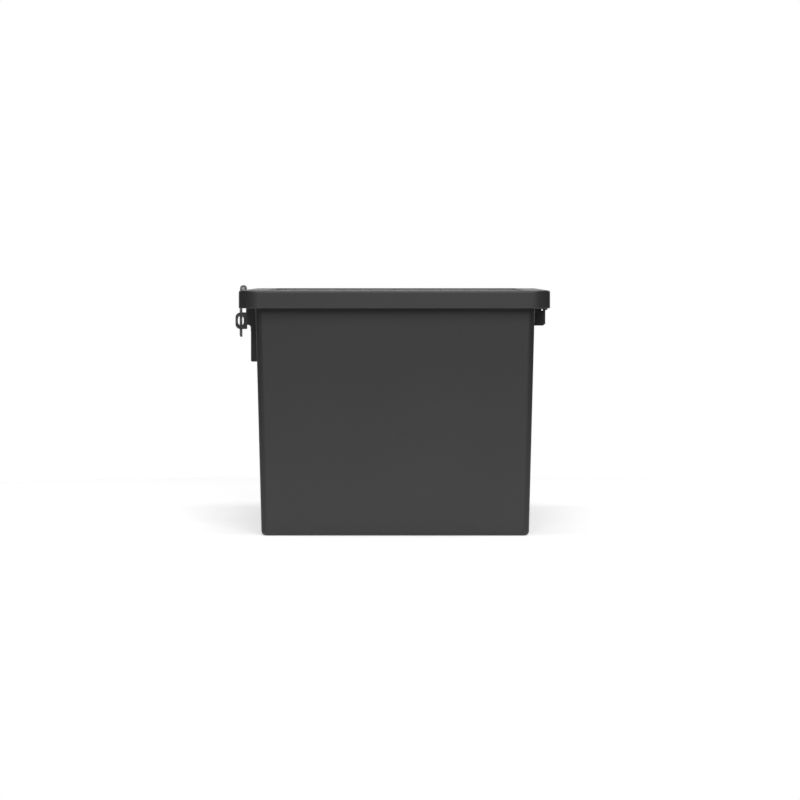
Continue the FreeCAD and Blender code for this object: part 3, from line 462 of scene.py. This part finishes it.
# ---- latch bracket ----
# A thick satin moulding bolted squarely through the leaning front wall onto a zinc-plated plate,
# with four socket-head bolts sunk in round pockets and four nuts inside the bin.
BOLT_RADIUS = 2.5
BOLT_LENGTH = 26.5
BOLT_TIP = 0.7
BOLT_TIP_IN = 0.5
BOLT_HEAD_RADIUS = 4.75
BOLT_HEAD_DEPTH = 3.0
BOLT_HEAD_EDGE = 0.45
BOLT_HEAD_STEP = 0.05
HEXAGON_RADIUS = 2.31
HEXAGON_DEPTH = 2.2
HEXAGON_TAPER = 0.96
LEAN = radians(1.365)
NUT_RADIUS = 4.62
NUT_HEIGHT = 4.0
bracket_plastic = moulded("satin_polyamide", "3b3b3c", "49494a", grain_mm=1.1, roughness=0.42)
dress("latch_bracket", bracket_plastic, bevel_mm=0.6, segments=3)
dress("latch_bracket_backing_plate", zinc, bevel_mm=0.4)
black_oxide = plated("black_oxide_steel", "3a3a3c", "2a2a2b", roughness=0.4)
hexagon = [(HEXAGON_RADIUS * cos(n * pi / 3), HEXAGON_RADIUS * sin(n * pi / 3)) for n in range(6)]
bolt_profile = [(BOLT_HEAD_RADIUS - BOLT_HEAD_EDGE, 0), (BOLT_HEAD_RADIUS, -BOLT_HEAD_EDGE),
                (BOLT_HEAD_RADIUS, -BOLT_HEAD_DEPTH),
                (BOLT_RADIUS, -BOLT_HEAD_DEPTH - BOLT_HEAD_STEP),
                (BOLT_RADIUS, BOLT_TIP - BOLT_LENGTH), (BOLT_RADIUS - BOLT_TIP_IN, -BOLT_LENGTH)]
bolt = turned(bolt_profile, hexagon, HEXAGON_DEPTH, HEXAGON_TAPER)
squarely = (0, -cos(LEAN), -sin(LEAN))
copies("latch_bracket_bolts_socket_head", bolt, shells("latch_bracket_bolts", squarely), squarely,
       black_oxide, "bin", "latch_bracket_bolts")


NUT_CHAMFER_STEEPNESS = 1.75


def nut_mesh(radius, height, bore, chamfer=0.55, chamfer_steps=4, count=72):
    """A hexagon nut whose corners are cut by a cone at both ends, with a plain bore."""
    flat = radius * cos(pi / 6)

    def six_sides(t):
        return flat / cos((t % (pi / 3)) - pi / 6)

    form = bmesh.new()
    steps = [n / chamfer_steps * chamfer for n in range(chamfer_steps + 1)]
    heights = steps + [height - h for h in reversed(steps)]
    loops = [[form.verts.new(p * MM) for p in ring_points(lambda t: bore, 0, count)]]
    for h in heights:
        limit = flat + NUT_CHAMFER_STEEPNESS * min(h, height - h)
        loops.append([form.verts.new(p * MM)
                      for p in ring_points(lambda t, m=limit: min(six_sides(t), m), h, count)])
    loops.append([form.verts.new(p * MM) for p in ring_points(lambda t: bore, height, count)])
    loops.append(loops[0])
    for lower, upper in zip(loops, loops[1:]):
        for n in range(count):
            after = (n + 1) % count
            form.faces.new((lower[n], lower[after], upper[after], upper[n]))
    bmesh.ops.recalc_face_normals(form, faces=form.faces)
    mesh = bpy.data.meshes.new("nut")
    form.to_mesh(mesh)
    form.free()
    return mesh


inwards = tuple(-part for part in squarely)
nut_seats = [spot - Vector(inwards) * NUT_HEIGHT * MM
             for spot in shells("latch_bracket_nuts", inwards)]
copies("latch_bracket_nuts_chamfered", nut_mesh(NUT_RADIUS, NUT_HEIGHT, BOLT_RADIUS), nut_seats,
       inwards, zinc, "bin", "latch_bracket_nuts")


# ---- eye plate ----
# A joggled steel plate screwed to the bracket by four flat screws, with two ears welded on. A weld
# bead runs up the outer side of each ear's root, and the coat covers plate, ears and weld.
FRONT = (0, -1, 0)
EYE_SCREW_LENGTH = 10.0
plate_coat = coated("satin_powder_coat", "3e3e40", "545457", peel_mm=0.9, roughness=0.38)
dress("eye_plate", plate_coat, bevel_mm=0.35)
screws_in("eye_plate_screws", EYE_SCREW_LENGTH, FRONT, "bin")
PLATE_FACE = -202.5
EAR_OUTER = 11.4
EAR_FROM, EAR_TO = 270.2, 283.6
WELD_RADIUS = 0.9
WELD_STEPS = 40
WELD_ARC_STEPS = 4
WELD_SINK = 0.2
WELD_RIPPLE = 0.12
WELD_RIPPLE_STEPS = 4
WELD_END = 0.45


def weld_beads(name, lines, body, material):
    """Quarter-round beads, each rippled along its line as a welded run is.

    lines is (across, face, low, high, sideways) in mm: the corner's X and Y, the bead's two ends
    in Z, and the direction in X, 1 or -1, to which the bead stands out.
    """
    form = bmesh.new()
    arc = [k * pi / 2 / WELD_ARC_STEPS for k in range(WELD_ARC_STEPS + 1)]
    for across, face, low, high, sideways in lines:
        rows = []
        for n in range(WELD_STEPS + 1):
            up = low + (high - low) * n / WELD_STEPS
            ripple = 1 + WELD_RIPPLE * cos(n * 2 * pi / WELD_RIPPLE_STEPS)
            swell = WELD_RADIUS * ripple * (WELD_END if n in (0, WELD_STEPS) else 1)
            outline = [(across + sideways * swell * cos(t), face - swell * sin(t), up) for t in arc]
            outline.append((across - sideways * WELD_SINK, face + WELD_SINK, up))
            rows.append([form.verts.new(Vector(point) * MM) for point in outline])
        around = len(rows[0])
        for one, two in zip(rows, rows[1:]):
            for k in range(around):
                after = (k + 1) % around
                form.faces.new((one[k], one[after], two[after], two[k]))
        form.faces.new(rows[0])
        form.faces.new(rows[-1][::-1])
    bmesh.ops.recalc_face_normals(form, faces=form.faces)
    mesh = bpy.data.meshes.new(name)
    form.to_mesh(mesh)
    form.free()
    mesh.materials.append(material)
    for polygon in mesh.polygons:
        polygon.use_smooth = True
    piece = bpy.data.objects.new(name, mesh)
    bpy.context.collection.objects.link(piece)
    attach(piece, body)


ear_roots = [(sideways * EAR_OUTER, PLATE_FACE, EAR_FROM, EAR_TO, sideways) for sideways in (-1, 1)]
weld_beads("eye_plate_welds", ear_roots, "bin", plate_coat)


# ---- latch mount ----
# A small steel mount on the lid's front skirt: a plate held by two flat screws into a tapped plate
# behind the skirt, and two ears that carry the riveted pin.
MOUNT_SCREW_LENGTH = 7.5
dress("latch_mount", plate_coat, bevel_mm=0.3)
dress("latch_backing_plate", zinc, bevel_mm=0.3)
screws_in("latch_mount_screws", MOUNT_SCREW_LENGTH, FRONT, "lid")
dress("latch_pin", zinc, bevel_mm=0.25)


# ---- latch strap ----
# A flat tongue of grey acetal that swings on a nylon bush round the pin and hangs between the two
# ears of the eye plate. Its lower end is thinned in front as a finger grip.
bush_nylon = moulded("natural_nylon", "c4c2b6", "b3b1a4", grain_mm=0.8, roughness=0.4,
                     relief=0.05, scuff=0.2)
dress("latch_bush", bush_nylon)
strap_plastic = moulded("grey_acetal", "6f6f70", "858586", grain_mm=0.9, roughness=0.38,
                        relief=0.06, scuff=0.4)
dress("latch_strap", strap_plastic, bevel_mm=0.5, segments=3)
